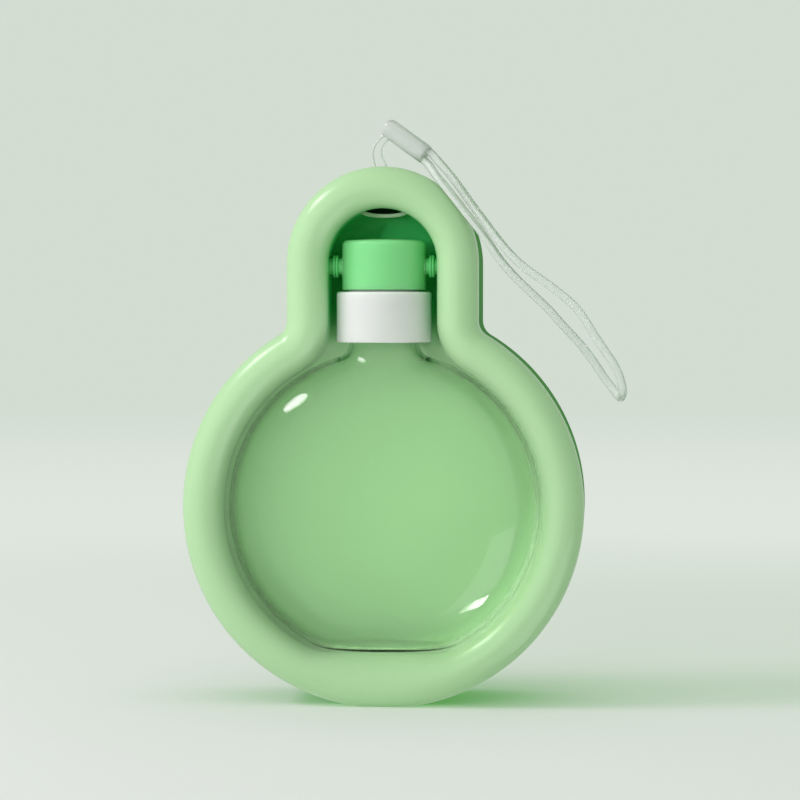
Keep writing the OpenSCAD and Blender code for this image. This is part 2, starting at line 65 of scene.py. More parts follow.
# Places and sizes that the solids have inside, in millimetres and degrees
PARTING_STEP = 2.4
FLOOR_GAP = 1.0
SEAT_GAP = 0.05
EYELET_BACK, EYELET_DROP, EYELET_LEAN = 4.9, 1.55, 11
EYELET_R, EYELET_BORE_R, EYELET_LIP_R = 9, 7.8, 0.6
EYELET_BELOW, EYELET_CEILING, EYELET_TOP = 7.8, 11.6, 12.8
LOOP_TUBE_R, LOOP_HOLE_R = 5.8, 4.6
THROUGH = 30
BUSH_R, BUSH_FROM = 4.9, 15
TONGUE_R, TONGUE_OUTER_R = 3.2, 5.0
NECK_WALL = 1.8
CAP_INSIDE_R, OUTLET_R, CAP_CROWN = 9.6, 6.2, 3.6
COLLAR_INSIDE_R, COLLAR_HOLE_R, COLLAR_CROWN = 15.4, 13.1, 2.2

# Steps of the curve at the foot of the flask's neck
FLARE_RINGS = 12

# Where the painted shade in the hollow of the neck and the painted light on the bowl's floor set in, in
# millimetres
PAINTED_SHADE_Z = 128, 146
PAINTED_LIGHT_SHADE_Y = -19, -9
RIM_FADE = 3.5

# Stage: the camera stands a metre off, a little to the right, and looks a little down
PICTURE_PIXELS = 800
FOCAL_PIXELS = 2702
SENSOR = 36.0
CAMERA_TURN = 4.8
CAMERA_DROP_PIXELS = 100
CAMERA_SIDE, CAMERA_AWAY, CAMERA_HEIGHT = 0.0052, 1.0, 0.1484
LAMPS_AIM = (0, 0, 0.09)

# The lanyard's routes, in metres, as the solids have them
THIN_ROUTE = [
    (0.0042, -0.0068, 0.2092), (0.0028, -0.0066, 0.2097), (0.0012, -0.0065, 0.2095),
    (-0.0008, -0.0063, 0.2082), (-0.0026, -0.0062, 0.2064), (-0.0038, -0.0061, 0.2044),
    (-0.0043, -0.006, 0.2024), (-0.0041, -0.006, 0.2), (-0.0035, -0.0062, 0.1976),
    (-0.003, -0.0066, 0.1952), (-0.0026, -0.007, 0.1926), (-0.00245, -0.0075, 0.1902),
    (-0.00245, -0.0079, 0.1883), (-0.002, -0.0081, 0.18705), (-0.0011, -0.0083, 0.18615),
    (0.0, -0.0084, 0.18585), (0.0011, -0.0083, 0.18615), (0.002, -0.0081, 0.18705),
    (0.00245, -0.0079, 0.1883), (0.0024, -0.0075, 0.1902), (0.002, -0.007, 0.1926),
    (0.0014, -0.0066, 0.1952), (0.0006, -0.0062, 0.1976), (-0.0006, -0.006, 0.2),
    (-0.0012, -0.006, 0.2022), (-0.001, -0.0062, 0.2044), (0.0004, -0.0064, 0.2064),
    (0.002, -0.0066, 0.2076), (0.004, -0.0068, 0.2076),
]
SLEEVE_FROM = (0.0002, -0.006, 0.2124)
SLEEVE_TO = (0.0156, -0.01, 0.2013)
STRAP_ROUTE = [
    (0.015, -0.0096, 0.2038), (0.0168, -0.0101, 0.2025), (0.0206, -0.012, 0.1985),
    (0.0254, -0.0142, 0.193), (0.0316, -0.017, 0.1846), (0.0376, -0.019, 0.1766),
    (0.042, -0.02, 0.1708), (0.0482, -0.0205, 0.1636), (0.053, -0.021, 0.1594),
    (0.0584, -0.0215, 0.1556), (0.063, -0.022, 0.1522), (0.0674, -0.0225, 0.1487),
    (0.0712, -0.023, 0.1449), (0.0744, -0.0236, 0.1404), (0.0776, -0.024, 0.1353),
    (0.0812, -0.0245, 0.1299), (0.0846, -0.0244, 0.1248), (0.087, -0.0228, 0.1186),
    (0.0874, -0.02, 0.1148), (0.0868, -0.0168, 0.1132), (0.0856, -0.0136, 0.1138),
    (0.0838, -0.0116, 0.1162), (0.081, -0.011, 0.1198), (0.077, -0.012, 0.1258),
    (0.0718, -0.014, 0.1326), (0.0654, -0.016, 0.1396), (0.0614, -0.017, 0.1442),
    (0.055, -0.018, 0.1504), (0.0496, -0.0186, 0.1556), (0.0434, -0.019, 0.1626),
    (0.0396, -0.0194, 0.1682), (0.0358, -0.0198, 0.1736), (0.0306, -0.0198, 0.1802),
    (0.0278, -0.0196, 0.1838), (0.025, -0.0192, 0.1872), (0.0224, -0.0179, 0.1904),
    (0.0198, -0.016, 0.1934), (0.0169, -0.0124, 0.1974), (0.0144, -0.01, 0.1998),
    (0.013, -0.0096, 0.201),
]


def linear(hex_colour):
    """sRGB hex to a linear colour with alpha."""
    values = [int(hex_colour[i:i + 2], 16) / 255 for i in (1, 3, 5)]
    return tuple(v / 12.92 if v <= 0.04045 else ((v + 0.055) / 1.055) ** 2.4 for v in values) + (1.0,)


def length(name, description, millimetres):
    """A size of the bottle, given in millimetres."""
    return bpy.props.FloatProperty(
        name=name, description=description, default=millimetres * MM, min=0.0, unit="LENGTH", precision=5)


def colour(name, description, hex_colour):
    """A colour of the bottle or its stage, given as sRGB hex."""
    return bpy.props.FloatVectorProperty(
        name=name, description=description, default=linear(hex_colour), size=4, min=0.0, max=1.0,
        subtype="COLOR")


class BottleSizes(bpy.types.PropertyGroup):
    """Sizes that the pieces are built from."""
    bowl_radius: length("Bowl Radius", "Outer radius of the round bowl", 73.6)
    neck_radius: length("Neck Radius", "Outer half width of the neck", 35.1)
    shoulder_radius: length("Shoulder Radius", "Corner between the neck and the bowl", 6.0)
    rim_radius: length("Rim Radius", "Radius of the rounded rim", 7.6)
    rim_setback: length("Rim Setback", "From the front of the flask back to the rim's crest", 9.5)
    wall: length("Wall", "Wall of the bowl and of the cover", 2.2)
    cove_radius: length("Cove Radius", "Hollow between the side wall and the floor", 17.0)
    foot_cut: length("Foot Cut", "Height of the flat cut off the round bottom", 1.0)
    cover_inset: length("Cover Inset", "Step from the rim in to the cover", 0.4)
    cover_edge: length("Cover Edge", "Rounding of the cover's rear edge", 8.0)
    ledge_gap: length("Ledge Gap", "Gap under the flask's flat base", 0.7)
    flask_radius: length("Flask Radius", "Outer radius of the round flask", 57.4)
    flask_thickness: length("Flask Thickness", "Thickness of the flask through its middle", 48.0)
    flask_edge: length("Flask Edge", "Radius of the flask's rounded edge", 20.0)
    flask_wall: length("Flask Wall", "Wall of the flask", 1.6)
    mouth_radius: length("Mouth Radius", "Outer radius of the flask's neck", 12.9)
    collar_radius: length("Collar Radius", "Outer radius of the white collar", 17.4)
    cap_radius: length("Cap Radius", "Outer radius of the cap", 15.35)
    pin_radius: length("Pin Radius", "Radius of a hinge pin", 3.0)
    flange_radius: length("Flange Radius", "Radius of a pin's flange", 4.1)
    strap_diameter: length("Strap Diameter", "Thickness of the strap's cord", 3.0)
    thin_diameter: length("Thin Loop Diameter", "Thickness of the thin loop's cord", 0.9)


class BottleColours(bpy.types.PropertyGroup):
    """Colours of the pieces, the floor and the backdrop."""
    bowl: colour("Bowl", "Pale green of the bowl and rim", "#ADD3A2")
    # The cover's deeper green is partly its own second colour and partly painted shade on its side
    cover: colour("Cover", "Deeper green of the back cover", "#2F8A22")
    cap: colour("Cap", "Bright green of the cap", "#7DD289")
    pin: colour("Pins", "Green of the hinge pins", "#62CF78")
    collar: colour("Collar", "White of the collar", "#E0E2E2")
    cord: colour("Cord", "Clear grey green of the strap", "#F2F7F3")
    # The pink tint evens out the painted green glow that the paper gets near the bottle
    floor: colour("Floor", "Floor paper, tinted against the green light", "#E3C4E8")
    backdrop: colour("Backdrop", "Pale green behind the bottle", "#D3DDD2")


# ---------------------------------------------------------------- shapes

def arc(cx, cy, radius, start, end, steps):
    """Points of an arc, angles in degrees."""
    turns = [math.radians(start + (end - start) * i / steps) for i in range(steps + 1)]
    return [(cx + radius * math.cos(t), cy + radius * math.sin(t)) for t in turns]


def wire(bm, points):
    """A chain of vertices and edges, the starting line of a spin."""
    verts = [bm.verts.new(p) for p in points]
    return verts + [bm.edges.new(pair) for pair in zip(verts, verts[1:])]


def turned(points, steps=96, axis_at=(0.0, 0.0)):
    """A solid of revolution about an upright axis, from points (radius, height)."""
    bm = bmesh.new()
    cx, cy = axis_at
    geom = wire(bm, [(cx + r, cy, z) for r, z in points])
    bmesh.ops.spin(bm, geom=geom, cent=(cx, cy, 0), axis=(0, 0, 1), angle=2 * math.pi, steps=steps,
                   use_merge=True)
    return bm


def on_pin_axis(bm, side):
    """Lays a turned solid along the hinge pins, out to the left (-1) or to the right (1)."""
    spot = Matrix.Translation((0, FLASK_Y, PIN_Z)) @ Matrix.Rotation(math.radians(90 * side), 4, "Y")
    bmesh.ops.transform(bm, matrix=spot, verts=bm.verts)
    return bm


def disc_edge(radius, low, high, edge):
    """The rounded rim of a disc that reaches from one height to another."""
    return arc(radius - edge, low + edge, edge, -90, 0, 3) + arc(radius - edge, high - edge, edge, 0, 90, 3)


def soft_bend(value, bend):
    """The value where it is well above 0, and 0 where it is well below, with a soft bend between."""
    return value if value > 30 * bend else bend * math.log1p(math.exp(value / bend))


def clean(bm):
    """Closes poles and seams and turns the faces outwards."""
    bmesh.ops.remove_doubles(bm, verts=bm.verts, dist=0.001)
    bmesh.ops.recalc_face_normals(bm, faces=bm.faces)


def smooth_shade(mesh, angle=35.0):
    """Shades a mesh smooth, with edges that are sharper than an angle in degrees kept."""
    mesh.shade_smooth()
    mesh.set_sharp_from_angle(angle=math.radians(angle))


def to_object(bm, name, smooth=35.0):
    """Makes the object, from millimetres to metres, shaded smooth up to an angle in degrees."""
    clean(bm)
    bmesh.ops.scale(bm, vec=(MM, MM, MM), verts=bm.verts)
    mesh = bpy.data.meshes.new(name)
    bm.to_mesh(mesh)
    bm.free()
    smooth_shade(mesh, smooth)
    obj = bpy.data.objects.new(name, mesh)
    bpy.context.scene.collection.objects.link(obj)
    return obj


def combine(obj, other, operation):
    """Joins or cuts obj with another solid, which is used up."""
    modifier = obj.modifiers.new("Combine", "BOOLEAN")
    modifier.operation = operation
    modifier.solver = "EXACT"
    modifier.object = other
    graph = bpy.context.evaluated_depsgraph_get()
    mesh = bpy.data.meshes.new_from_object(obj.evaluated_get(graph))
    obj.modifiers.clear()
    obj.data = mesh
    bpy.data.objects.remove(other)
    smooth_shade(mesh)
    return obj


def place(obj, body, slot, material, *nodes):
    """Gives a finished piece its finish, its body and the solids that it stands for."""
    obj.data.materials.clear()
    obj.data.materials.append(material)
    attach(obj, body)
    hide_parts(*nodes)
    return obj


class Keyhole:
    """The keyhole outline, as the line that the middle of the rim follows, in millimetres."""

    def __init__(self, sizes):
        self.bowl = sizes.bowl_radius / MM
        self.neck = sizes.neck_radius / MM
        self.rim = sizes.rim_radius / MM
        self.path_bowl = self.bowl - self.rim
        self.path_neck = self.neck - self.rim
        self.bowl_z = self.bowl - sizes.foot_cut / MM
        self.neck_z = SHELL_TOP - self.neck
        self.shoulder_x = self.neck + sizes.shoulder_radius / MM
        reach = self.bowl + sizes.shoulder_radius / MM
        self.shoulder_turn = math.acos(self.shoulder_x / reach)
        self.shoulder_z = self.bowl_z + reach * math.sin(self.shoulder_turn)
        self.rim_y = FRONT_Y + sizes.rim_setback / MM + self.rim
        self.parting = self.rim_y + PARTING_STEP

    def sweep(self, profile):
        """Takes a profile of points (outwards, y) round the keyhole: spins, straight and mirror."""
        bm = bmesh.new()
        last = wire(bm, [(0, y, self.bowl_z - self.path_bowl - u) for u, y in profile])
        front = (0, -1, 0)
        last = bmesh.ops.spin(bm, geom=last, cent=(0, 0, self.bowl_z), axis=front,
                              angle=math.pi / 2 + self.shoulder_turn, steps=84)["geom_last"]
        last = bmesh.ops.spin(bm, geom=last, cent=(self.shoulder_x, 0, self.shoulder_z), axis=front,
                              angle=-self.shoulder_turn, steps=24)["geom_last"]
        lifts = 6
        for _ in range(lifts):
            edges = [e for e in last if isinstance(e, bmesh.types.BMEdge)]
            last = bmesh.ops.extrude_edge_only(bm, edges=edges)["geom"]
            moved = [v for v in last if isinstance(v, bmesh.types.BMVert)]
            lift = (0, 0, (self.neck_z - self.shoulder_z) / lifts)
            bmesh.ops.translate(bm, vec=lift, verts=moved)
            last = [g for g in last if not isinstance(g, bmesh.types.BMFace)]
        bmesh.ops.spin(bm, geom=last, cent=(0, 0, self.neck_z), axis=front, angle=math.pi / 2, steps=40)
        clean(bm)
        bmesh.ops.mirror(bm, geom=bm.verts[:] + bm.edges[:] + bm.faces[:], axis="X", merge_dist=0.001)
        return bm

    def flatten_foot(self, bm):
        """Presses what lies under the foot up to the ground."""
        for v in bm.verts:
            v.co.z = max(v.co.z, 0.0)


def close_openings(bm):
    """Fills the open boundary loops with flat faces."""
    bmesh.ops.edgeloop_fill(bm, edges=[e for e in bm.edges if e.is_boundary])


# ---------------------------------------------------------------- finishes

def node(tree, kind, links=None, values=None, **settings):
    """Adds a node with its settings, its values and the sockets that feed it."""
    made = tree.nodes.new(kind)
    for key, value in settings.items():
        setattr(made, key, value)
    for key, value in (values or {}).items():
        made.inputs[key].default_value = value
    for key, socket in (links or {}).items():
        tree.links.new(socket, made.inputs[key])
    return made


def new_material(name):
    """An empty material with its output, ready for its shader."""
    material = bpy.data.materials.new(name)
    material.use_nodes = True
    material.node_tree.nodes.clear()
    output = node(material.node_tree, "ShaderNodeOutputMaterial")
    return material, material.node_tree, output


def shade(linear_colour, factor):
    """A linear colour made lighter or darker."""
    return tuple(min(1.0, c * factor) for c in linear_colour[:3]) + (1.0,)


def noise(tree, size_mm, detail, roughness=0.5):
    """Noise in the object's own space, with the size of its marks in millimetres."""
    where = node(tree, "ShaderNodeTexCoord")
    made = node(tree, "ShaderNodeTexNoise", {"Vector": where.outputs["Object"]},
                {"Scale": 1 / (size_mm * MM), "Detail": detail, "Roughness": roughness})
    return made.outputs["Fac"]


def ramp(tree, value, low, high, to_low=0.0, to_high=1.0, smooth=True):
    """Takes a value from the range low to high to another range."""
    made = node(tree, "ShaderNodeMapRange", {"Value": value},
                {"From Min": low, "From Max": high, "To Min": to_low, "To Max": to_high},
                interpolation_type="SMOOTHSTEP" if smooth else "LINEAR")
    return made.outputs["Result"]


def blend(tree, factor, first, second):
    """Mixes two colours, each a value or a socket."""
    made = node(tree, "ShaderNodeMix", {"Factor": factor}, data_type="RGBA")
    for name, colour_in in (("A", first), ("B", second)):
        if isinstance(colour_in, bpy.types.NodeSocket):
            tree.links.new(colour_in, made.inputs[name])
        else:
            made.inputs[name].default_value = colour_in
    return made.outputs["Result"]


def maths(tree, operation, first, second):
    """Works out one value from two, of which the second may be a number."""
    links = {0: first, 1: second} if isinstance(second, bpy.types.NodeSocket) else {0: first}
    values = {} if len(links) == 2 else {1: second}
    return node(tree, "ShaderNodeMath", links, values, operation=operation).outputs[0]


def inside_rim(tree, where, key):
    """1 inside the middle line of the keyhole rim and 0 outside it, for a point of the bowl."""
    def vector(operation, socket, other=(0, 0, 0)):
        return node(tree, "ShaderNodeVectorMath", {0: socket}, {1: other}, operation=operation)

    flat = vector("MULTIPLY", where, (1, 0, 1)).outputs["Vector"]
    bowl = vector("DISTANCE", flat, (0, 0, key.bowl_z * MM)).outputs["Value"]
    over_neck = vector("SUBTRACT", flat, (0, 0, key.neck_z * MM)).outputs["Vector"]
    over_neck = vector("MAXIMUM", over_neck, (-1, 0, 0)).outputs["Vector"]
    neck = vector("LENGTH", over_neck).outputs["Value"]
    nearest = maths(tree, "MINIMUM", maths(tree, "SUBTRACT", bowl, key.path_bowl * MM),
                    maths(tree, "SUBTRACT", neck, key.path_neck * MM))
    return ramp(tree, nearest, 0.0, -RIM_FADE * MM)


def paint_hollow_shade_and_floor_light(tree, tint, key, painted_shade_green, pale):
    """Painted shade and painted light inside the rim: the hollow of the neck is painted a deeper green in
    place of its shade, and the open floor of the bowl a paler green in place of the light on it."""
    where = node(tree, "ShaderNodeTexCoord").outputs["Object"]
    place_in = node(tree, "ShaderNodeSeparateXYZ", {"Vector": where})
    height = ramp(tree, place_in.outputs["Z"], *(z * MM for z in PAINTED_SHADE_Z))
    depth = ramp(tree, place_in.outputs["Y"], *(y * MM for y in PAINTED_LIGHT_SHADE_Y))
    within = maths(tree, "MULTIPLY", depth, inside_rim(tree, where, key))
    return blend(tree, within, tint, blend(tree, height, pale, painted_shade_green))


def moulded(name, base, roughness, mottle=0.03, specular=0.5, milky=0.0, inside=None):
    """Injection-moulded plastic: a fine spark grain in the tool, drawn coarser than life so that it
    shows, slow flow marks in the colour and a little wear in the gloss."""
    material, tree, output = new_material(name)
    tint = blend(tree, noise(tree, 45, 2.0, 0.4), shade(base, 1 - mottle), shade(base, 1 + mottle))
    grain = noise(tree, 0.9, 3.0, 0.6)
    gloss = ramp(tree, grain, 0.0, 1.0, roughness - 0.04, roughness + 0.04, smooth=False)
    bump = node(tree, "ShaderNodeBump", {"Height": grain}, {"Strength": 0.35, "Distance": 0.006 * MM})
    # Where asked, painted shade in the neck's hollow and painted light on the bowl's floor
    if inside:
        tint = paint_hollow_shade_and_floor_light(tree, tint, **inside)
    shader = node(tree, "ShaderNodeBsdfPrincipled",
                  {"Base Color": tint, "Roughness": gloss, "Normal": bump.outputs["Normal"]},
                  {"IOR": 1.54, "Specular IOR Level": specular, "Subsurface Weight": milky,
                   "Subsurface Radius": (1.0, 1.0, 1.0), "Subsurface Scale": 9 * MM})
    tree.links.new(shader.outputs["BSDF"], output.inputs["Surface"])
    return material


def clear_plastic(name, base, roughness, ior):
    """Blow-moulded clear plastic: smooth with slow waves in its wall. Light passes it to the bowl."""
    material, tree, output = new_material(name)
    waves = noise(tree, 26, 1.0, 0.3)
    bump = node(tree, "ShaderNodeBump", {"Height": waves}, {"Strength": 0.4, "Distance": 0.05 * MM})
    gloss = ramp(tree, waves, 0.0, 1.0, roughness, roughness + 0.02, smooth=False)
    shader = node(tree, "ShaderNodeBsdfPrincipled",
                  {"Roughness": gloss, "Normal": bump.outputs["Normal"]},
                  {"Base Color": base, "IOR": ior, "Transmission Weight": 1.0})
    light = node(tree, "ShaderNodeLightPath")
    through = node(tree, "ShaderNodeBsdfTransparent", values={"Color": base})
    mixed = node(tree, "ShaderNodeMixShader", {0: light.outputs["Is Shadow Ray"],
                                               1: shader.outputs["BSDF"], 2: through.outputs["BSDF"]})
    tree.links.new(mixed.outputs["Shader"], output.inputs["Surface"])
    return material


def soft_clear(name, base, roughness, transmission, ior=1.35):
    """Extruded soft PVC: milky clear, with faint slow draw lines along it."""
    material, tree, output = new_material(name)
    lines = noise(tree, 14, 1.0)
    gloss = ramp(tree, lines, 0.0, 1.0, roughness, roughness + 0.06, smooth=False)
    tint = blend(tree, lines, shade(base, 0.97), shade(base, 1.02))
    shader = node(tree, "ShaderNodeBsdfPrincipled", {"Roughness": gloss, "Base Color": tint},
                  {"IOR": ior, "Transmission Weight": transmission})
    tree.links.new(shader.outputs["BSDF"], output.inputs["Surface"])
    return material


def ground_steel(name):
    """Ground stainless steel wire: fine lines round it."""
    material, tree, output = new_material(name)
    gloss = ramp(tree, noise(tree, 0.6, 4.0), 0.0, 1.0, 0.22, 0.38, smooth=False)
    shader = node(tree, "ShaderNodeBsdfPrincipled", {"Roughness": gloss},
                  {"Base Color": linear("#C6C7C8"), "Metallic": 1.0})
    tree.links.new(shader.outputs["BSDF"], output.inputs["Surface"])
    return material


def finishes(context):
    """The object's finishes, made once and found again by name."""
    c = context.scene.bottle_colours
    # The deep green is painted shade for the neck's hollow, the pale green painted light for the bowl's
    # floor
    inside = {"key": Keyhole(context.scene.bottle_sizes), "painted_shade_green": linear("#50E07C"),
              "pale": linear("#DEFBD8")}
    makers = {
        "bowl_green_abs": lambda n: moulded(n, c.bowl, 0.26, specular=0.42, inside=inside),
        # Painted light: the eyelet is paler than the bowl's plastic so that its lip looks lit
        "eyelet_painted_light_green": lambda n: moulded(n, linear("#D8FFCE"), 0.3, milky=0.4),
        # Painted shade: a near-black green for the inside of the eyelet's tube
        "eyelet_painted_shade": lambda n: moulded(n, linear("#04200A"), 0.5, specular=0.05),
        # The cover's own deeper green, darkened further as painted shade on its side
        "cover_green_and_painted_shade": lambda n: moulded(n, c.cover, 0.5, specular=0.02),
        "cap_green_pp": lambda n: moulded(n, c.cap, 0.33, mottle=0.02, milky=0.5),
        "pin_green_pom": lambda n: moulded(n, c.pin, 0.32, mottle=0.02),
        "white_collar_pp": lambda n: moulded(n, c.collar, 0.42, mottle=0.012, milky=0.7),
        "clear_silicone": lambda n: soft_clear(n, linear("#E6EDE6"), 0.4, 0.3),
        "clear_copolyester": lambda n: clear_plastic(n, linear("#F6FFF4"), 0.015, 1.37),
        "soft_pvc_cord": lambda n: soft_clear(n, c.cord, 0.22, 0.6, 1.28),
        "soft_pvc_sleeve": lambda n: soft_clear(n, linear("#E4E8E5"), 0.1, 0.45),
        "ground_steel": ground_steel,
    }
    return {n: bpy.data.materials.get(n) or make(n) for n, make in makers.items()}


# ---------------------------------------------------------------- pieces

class BOTTLE_OT_stage(bpy.types.Operator):
    """Makes the camera, the lamps, the world and the pale floor."""
    bl_idname = "bottle.stage"
    bl_label = "Stage"

    def execute(self, context):
        scene = context.scene
        self.camera(scene)
        scene.view_settings.view_transform = "Standard"
        key = self.lamp(scene, "key_lamp", (-1.25, -0.32, 1.3), (0.68, 0.36), 8.6)
        key.data.shape = "ELLIPSE"
        for name, at, size, power in (("front_fill", (-0.75, -1.8, 0.35), 1.3, 13.0),
                                      ("left_fill", (-1.5, -0.7, 0.4), 1.0, 9.0),
                                      ("top_fill", (0.0, 0.1, 1.7), 1.6, 4.0)):
            fill = self.lamp(scene, name, at, (size, size), power)
            fill.visible_glossy = False
            fill.visible_transmission = False
        # Lamps below the table's edge that only shine back from polished faces
        for name, at, size, power in (("low_glint", (0.67, -0.32, -0.74), (0.34, 0.13), 3.4),
                                      ("low_softbox", (0.8, -0.75, -0.5), (1.1, 0.7), 4.6)):
            glint = self.lamp(scene, name, at, size, power)
            glint.visible_diffuse = False
            glint.visible_transmission = False
        # Snooted lamps: one lights the inside of the bowl through the clear flask, one the neck
        for name, at, target, cone, power in (
                ("bowl_snoot", (0.4, -1.13, 0.1), (-0.018, 0.012, 0.086), 6.8, 8.8),
                ("neck_snoot", (-0.5, -1.15, 0.2), (-0.003, -0.015, 0.164), 3.8, 6.0)):
            data = bpy.data.lights.new(name, "SPOT")
            data.energy = power
            data.spot_size = math.radians(cone)
            data.spot_blend = 0.7
            data.shadow_soft_size = 0.02
            data.color = (1.0, 0.95, 0.98)
            snoot = self.aim(scene, data, at, target)
            snoot.visible_glossy = False
            snoot.visible_transmission = False
        self.world(scene)
        self.floor(scene)
        return {"FINISHED"}

    def camera(self, scene):
        """Makes the camera in the photo's place."""
        turn, pitch = math.radians(CAMERA_TURN), math.atan2(CAMERA_DROP_PIXELS, FOCAL_PIXELS)
        right = Vector((math.cos(turn), math.sin(turn), 0))
        ahead = Vector((-math.sin(turn), math.cos(turn), 0))
        camera = bpy.data.objects.new("camera", bpy.data.cameras.new("camera"))
        camera.data.sensor_width = SENSOR
        camera.data.lens = SENSOR * FOCAL_PIXELS / PICTURE_PIXELS
        camera.data.clip_start = 0.05
        camera.location = right * CAMERA_SIDE - ahead * CAMERA_AWAY + Vector((0, 0, CAMERA_HEIGHT))
        look = ahead * math.cos(pitch) + Vector((0, 0, -math.sin(pitch)))
        camera.rotation_mode = "QUATERNION"
        camera.rotation_quaternion = look.to_track_quat("-Z", "Y")
        scene.collection.objects.link(camera)
        scene.camera = camera

    def world(self, scene):
        """Soft green-white light all round. What the camera and mirrors see of it is the backdrop."""
        world = bpy.data.worlds.new("studio")
        scene.world = world
        world.use_nodes = True
        tree = world.node_tree
        tree.nodes.clear()
        light = node(tree, "ShaderNodeLightPath")
        seen = maths(tree, "MAXIMUM", light.outputs["Is Camera Ray"], light.outputs["Is Glossy Ray"])
        seen = maths(tree, "MAXIMUM", seen, light.outputs["Is Transmission Ray"])
        soft = node(tree, "ShaderNodeBackground",
                    values={"Color": (0.8, 1.0, 0.76, 1.0), "Strength": 0.52})
        pale = node(tree, "ShaderNodeBackground",
                    values={"Color": scene.bottle_colours.backdrop, "Strength": 1.0})
        mixed = node(tree, "ShaderNodeMixShader", {0: seen, 1: soft.outputs[0], 2: pale.outputs[0]})
        node(tree, "ShaderNodeOutputWorld", {"Surface": mixed.outputs[0]})

    def lamp(self, scene, name, at, size, power):
        """A softbox that faces the middle of the bottle."""
        data = bpy.data.lights.new(name, "AREA")
        data.shape = "RECTANGLE"
        data.size, data.size_y = size
        data.energy = power
        data.color = (1.0, 0.9, 0.99)
        return self.aim(scene, data, at, LAMPS_AIM)

    def aim(self, scene, data, at, target):
        """Puts a lamp in its place, turned to its target."""
        lamp = bpy.data.objects.new(data.name, data)
        lamp.location = at
        lamp.rotation_mode = "QUATERNION"
        lamp.rotation_quaternion = (Vector(target) - Vector(at)).to_track_quat("-Z", "Y")
        scene.collection.objects.link(lamp)
        return lamp

    def floor(self, scene):
        """Matt seamless paper: it takes the shadow near the object and fades to the backdrop."""
        bm = bmesh.new()
        bmesh.ops.create_circle(bm, cap_ends=True, radius=6000, segments=96)
        floor = to_object(bm, "pale_floor")
        material, tree, output = new_material("matt_floor_paper")
        colours = scene.bottle_colours
        where = node(tree, "ShaderNodeTexCoord").outputs["Object"]
        away = node(tree, "ShaderNodeVectorMath", {0: where}, operation="LENGTH").outputs["Value"]
        fade = ramp(tree, away, 0.25, 0.8)
        haze = blend(tree, ramp(tree, away, 0.7, 2.8), linear("#DFE6DE"), colours.backdrop)
        fibre = noise(tree, 3, 3.0)
        tint = blend(tree, fibre, shade(colours.floor, 0.99), shade(colours.floor, 1.01))
        paper = node(tree, "ShaderNodeBsdfPrincipled", {"Base Color": tint},
                     {"Roughness": 0.9, "Specular IOR Level": 0.1})
        # Painted light: the paper glows a faint green, standing in for green light through the plastic, and
        # so fills the shadow
        painted_green_glow = node(tree, "ShaderNodeEmission", values={"Color": (0.08, 0.27, 0.06, 1.0)})
        paper = node(tree, "ShaderNodeAddShader", {0: paper.outputs[0], 1: painted_green_glow.outputs[0]})
        glow = node(tree, "ShaderNodeEmission", {"Color": haze})
        mixed = node(tree, "ShaderNodeMixShader", {0: fade, 1: paper.outputs[0], 2: glow.outputs[0]})
        tree.links.new(mixed.outputs[0], output.inputs["Surface"])
        floor.data.materials.append(material)
        floor.visible_glossy = False


class BOTTLE_OT_lanyard(bpy.types.Operator):
    """Makes the thin loop, the sleeve and the strap."""
    bl_idname = "bottle.lanyard"
    bl_label = "Lanyard"

    def execute(self, context):
        sizes = context.scene.bottle_sizes
        looks = finishes(context)
        sleeve = self.sleeve(looks["soft_pvc_sleeve"])
        thin = self.run("thin_loop_cord", THIN_ROUTE, sizes.thin_diameter)
        place(thin, "shell", "cord_thin", looks["soft_pvc_cord"], "thin_loop")
        strap = self.run("strap_cord", STRAP_ROUTE, sizes.strap_diameter)
        place(strap, "shell", "cord_strap", looks["soft_pvc_cord"], "strap_loop")
        return {"FINISHED"}

    def run(self, name, route, diameter):
        """A cord as a curve through the points of its route."""
        curve = bpy.data.curves.new(name, "CURVE")
        curve.dimensions = "3D"
        curve.bevel_depth = diameter / 2
        curve.bevel_resolution = 6
        curve.resolution_u = 8
        curve.use_fill_caps = True
        spline = curve.splines.new("BEZIER")
        spline.bezier_points.add(len(route) - 1)
        for point, at in zip(spline.bezier_points, route):
            point.co = at
            point.handle_left_type = point.handle_right_type = "AUTO"
        obj = bpy.data.objects.new(name, curve)
        bpy.context.scene.collection.objects.link(obj)
        return obj

    def measure(self, obj):
        """Length of a cord along its curve."""
        return obj.data.splines[0].calc_length()

    def sleeve(self, material):
        """The clear sleeve that holds both cords, with a round nose and a small edge at its end."""
        start, end = Vector(SLEEVE_FROM) / MM, Vector(SLEEVE_TO) / MM
        long, radius, nose, edge = (end - start).length, 3.6, 2.4, 0.5
        outer = [(0, 0)] + arc(radius - nose, nose, nose, -90, 0, 8)
        outer += arc(radius - edge, long - edge, edge, 0, 90, 4) + [(0, long)]
        bm = turned(outer, 64)
        turn = (end - start).to_track_quat("Z", "Y").to_matrix().to_4x4()
        bmesh.ops.transform(bm, matrix=Matrix.Translation(start) @ turn, verts=bm.verts)
        sleeve = to_object(bm, "clear_sleeve")
        return place(sleeve, "shell", "clear_sleeve", material, "lanyard_sleeve")


def eyelet_spot(key):
    """The eyelet's own axis, leaning back, with its origin in the middle of the mouth."""
    ceiling = key.neck_z + key.neck - 2 * key.rim
    spot = Matrix.Translation((0, key.rim_y + EYELET_BACK, ceiling - EYELET_DROP))
    return spot @ Matrix.Rotation(math.radians(-EYELET_LEAN), 4, "X")


def on_eyelet_axis(bm, key):
    """Lays a turned solid along the eyelet's axis."""
    bmesh.ops.transform(bm, matrix=eyelet_spot(key), verts=bm.verts)
    return bm


